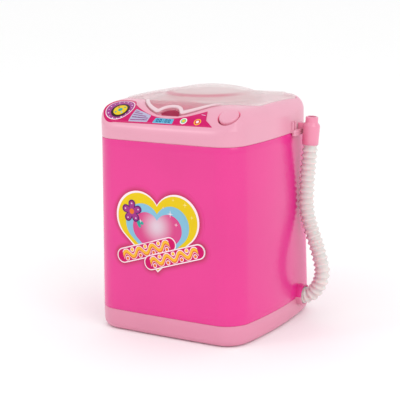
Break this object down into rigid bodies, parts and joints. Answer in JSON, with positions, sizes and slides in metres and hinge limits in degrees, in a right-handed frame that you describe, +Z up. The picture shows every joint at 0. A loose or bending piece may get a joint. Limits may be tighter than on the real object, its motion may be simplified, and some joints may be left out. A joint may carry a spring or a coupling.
{
  "type": "toy washing machine",
  "caption": "Toy top-loading washing machine: pink tapered housing, hinged translucent lid over a wash tub, sprung button, geared pulsator drive and a corrugated drain hose.",
  "frame": {"origin": "middle of the flat underside of the base, on the floor plane", "axes": "+Z up, the front faces -Y, the drain hose is on the +X side near the back"},
  "size_m": [0.129, 0.105, 0.1491],
  "materials": {
    "body_pink": "glossy",
    "trim_pink": "glossy",
    "lid_milky": "glossy, translucent",
    "tub_pink": "glossy",
    "pulsator_white": "glossy",
    "steel": "plain",
    "bronze": "plain",
    "seal_rubber": "matt",
    "gear_white": "satin",
    "motor_can": "satin",
    "gearbox_white": "satin",
    "switch_black": "matt",
    "plunger_white": "satin",
    "cell_jacket": "satin",
    "tube_vinyl": "satin",
    "elbow_white": "satin",
    "hose_white": "satin, corrugated",
    "label_print": "glossy print"
  },
  "bodies": {
    "housing": {"base_tray": "trim_pink", "body_shell": "body_pink", "top_frame": "trim_pink", "wash_tub": "tub_pink", "shaft_bush": "bronze", "shaft_seal": "seal_rubber", "gear_axle": "steel", "motor": "motor_can", "gearbox_base": "gearbox_white", "gearbox_cover": "gearbox_white", "gearbox_screws": "steel", "button_spring": "steel", "switch_body": "switch_black", "tub_screws": "steel", "frame_screws": "steel", "base_screws": "steel", "battery_door": "trim_pink", "battery_door_screw": "steel", "cells": "cell_jacket", "coil_contacts": "steel", "plate_contact": "steel", "drain_tube": "tube_vinyl", "drain_elbow": "elbow_white", "drain_hose": "hose_white", "hose_nozzle": "trim_pink", "panel_label": "label_print", "front_label": "label_print"},
    "lid": {"lid": "lid_milky"},
    "button": {"push_button": "trim_pink", "switch_plunger": "plunger_white"},
    "drive": {"pulsator": "pulsator_white", "pulsator_screw": "steel", "drive_shaft": "steel", "output_gear": "gear_white"},
    "counter": {"reduction_gear": "gear_white"},
    "rotor": {"motor_pinion": "bronze", "motor_shaft": "steel"}
  },
  "joints": [
    {"name": "lid_hinge", "type": "hinge", "parent": "housing", "child": "lid", "pos_m": [0, 0.042, 0.1388], "axis": [-1, 0, 0], "range_deg": [0, 100]},
    {"name": "button_press", "type": "slide", "parent": "housing", "child": "button", "axis": [0, 0.4844, -0.8749], "range_m": [0, 0.002], "stiffness_N_per_m": 150, "springref_m": -0.001, "deforming": ["button_spring"]},
    {"name": "pulsator_spin", "type": "hinge", "parent": "housing", "child": "drive", "pos_m": [0, 0.0015, 0.07], "axis": [0, 0, 1], "continuous": true},
    {"name": "counter_spin", "type": "hinge", "parent": "housing", "child": "counter", "pos_m": [-0.0208, 0.0015, 0.053], "axis": [0, 0, 1], "continuous": true},
    {"name": "rotor_spin", "type": "hinge", "parent": "housing", "child": "rotor", "pos_m": [-0.0208, 0.0215, 0.05], "axis": [0, 0, 1], "continuous": true}
  ],
  "couplings": [
    {"joint": "counter_spin", "follows": "pulsator_spin", "ratio": -4.2},
    {"joint": "rotor_spin", "follows": "pulsator_spin", "ratio": 16.8}
  ]
}
